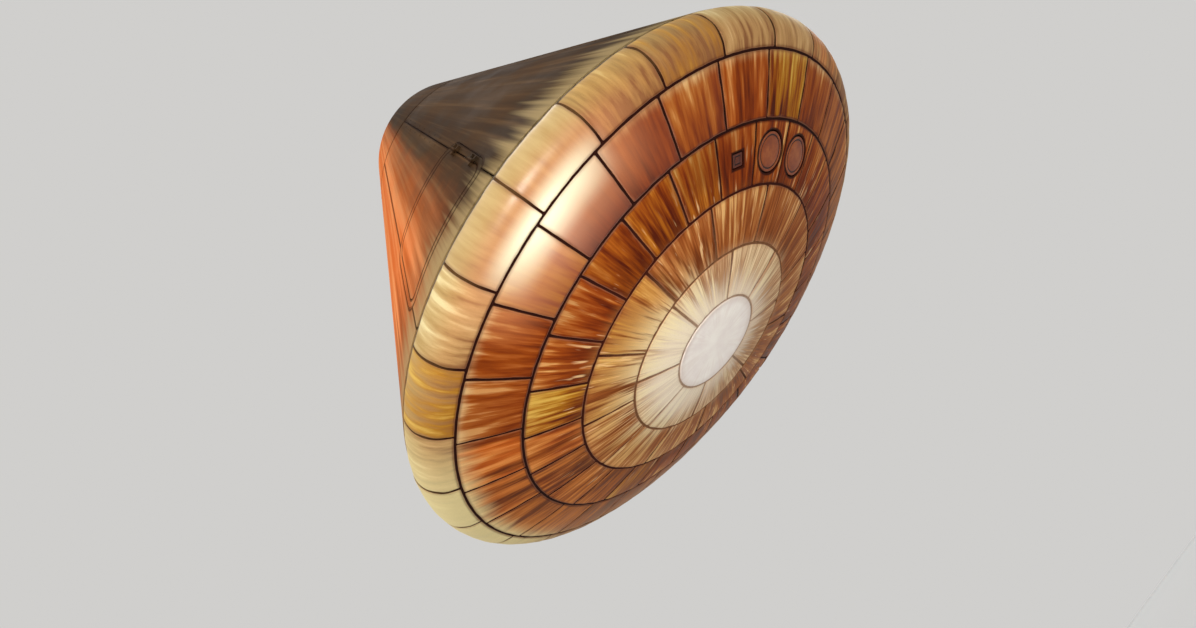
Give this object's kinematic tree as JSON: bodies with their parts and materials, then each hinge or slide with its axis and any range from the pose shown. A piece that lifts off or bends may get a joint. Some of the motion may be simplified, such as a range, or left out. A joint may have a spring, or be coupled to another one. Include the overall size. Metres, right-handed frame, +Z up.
{
  "type": "crewed re-entry space capsule",
  "caption": "Blunt conical crew capsule with a dished heat shield of fitted blocks, panelled side wall with hatch and windows, and a rounded forward cover over a docking tunnel.",
  "frame": {"origin": "centre of the heat shield's flat middle disc, the lowest point", "axes": "+Z up the capsule's axis from heat shield to forward cover, -Y through the side hatch, +X completes it"},
  "size_m": [5.0298, 5.0298, 4.0321],
  "materials": {
    "shield_block": "charred orange-brown ablative blocks, streaked from the centre",
    "rim_block": "charred ablative blocks, cream towards the edge",
    "plug_block": "pale scorched block",
    "shield_cover": "charred brown",
    "carrier": "dark composite",
    "seal": "matt heat-proof seal",
    "backshell": "taupe brown, soot-streaked heat-proof coating",
    "backshell_hatch": "taupe brown, soot-streaked heat-proof coating",
    "hatch_frame": "taupe brown coating",
    "cover_skin": "taupe grey-brown coating",
    "window_frame": "heat-tinted metal",
    "window_glass": "smoked clear",
    "nozzle_metal": "heat-tinted metal",
    "inner_structure": "satin",
    "docking_metal": "machined",
    "parachute_fabric": "packed woven fabric",
    "mortar_metal": "satin",
    "cabin_floor": "satin grey",
    "seat_metal": "satin",
    "seat_fabric": "woven",
    "console_plastic": "matt dark grey",
    "locker_shell": "off-white",
    "handle_metal": "brushed",
    "hatch_metal": "satin"
  },
  "bodies": {
    "crew_module": {"heat_shield_carrier": "carrier", "shield_centre_plug": "plug_block", "shield_inner_blocks": "shield_block", "shield_second_blocks": "shield_block", "shield_third_blocks": "shield_block", "shield_outer_blocks": "shield_block", "shield_shoulder_blocks": "rim_block", "shield_round_covers": "shield_cover", "shield_square_plug": "shield_cover", "rim_seal_ring": "seal", "backshell_below_hatch": "backshell", "backshell_above_hatch": "backshell", "backshell_panel_1": "backshell", "backshell_panel_2": "backshell", "backshell_panel_3": "backshell", "backshell_panel_4": "backshell", "backshell_panel_5": "backshell", "backshell_panel_6": "backshell", "backshell_panel_7": "backshell", "backshell_panel_8": "backshell", "hatch_frame": "hatch_frame", "window_frames": "window_frame", "window_glass": "window_glass", "thruster_nozzles": "nozzle_metal", "forward_bulkhead": "inner_structure", "docking_tunnel": "inner_structure", "docking_ring": "docking_metal", "docking_hatch_hinge": "docking_metal", "parachute_packs": "parachute_fabric", "drogue_mortars": "mortar_metal", "cabin_floor": "cabin_floor", "seat_frames": "seat_metal", "seat_pads": "seat_fabric", "leg_pads": "seat_fabric", "display_console": "console_plastic", "stowage_lockers": "locker_shell"},
    "side_hatch": {"side_hatch": "backshell_hatch", "hatch_handle": "handle_metal"},
    "docking_hatch": {"docking_hatch": "hatch_metal"},
    "forward_cover": {"forward_cover": "cover_skin"}
  },
  "joints": [
    {"name": "side_hatch_hinge", "type": "hinge", "parent": "crew_module", "child": "side_hatch", "pos_m": [0.50179, -1.99918, 1.5559], "axis": [-0.1308, 0.5211, 0.8434], "range_deg": [0, 110]},
    {"name": "docking_hatch_hinge", "type": "hinge", "parent": "crew_module", "child": "docking_hatch", "pos_m": [0, 0.456, 3.1195], "axis": [1, 0, 0], "range_deg": [0, 95]},
    {"name": "forward_cover_lift", "type": "slide", "parent": "crew_module", "child": "forward_cover", "axis": [0, 0, 1], "range_m": [0, 0.8]}
  ]
}
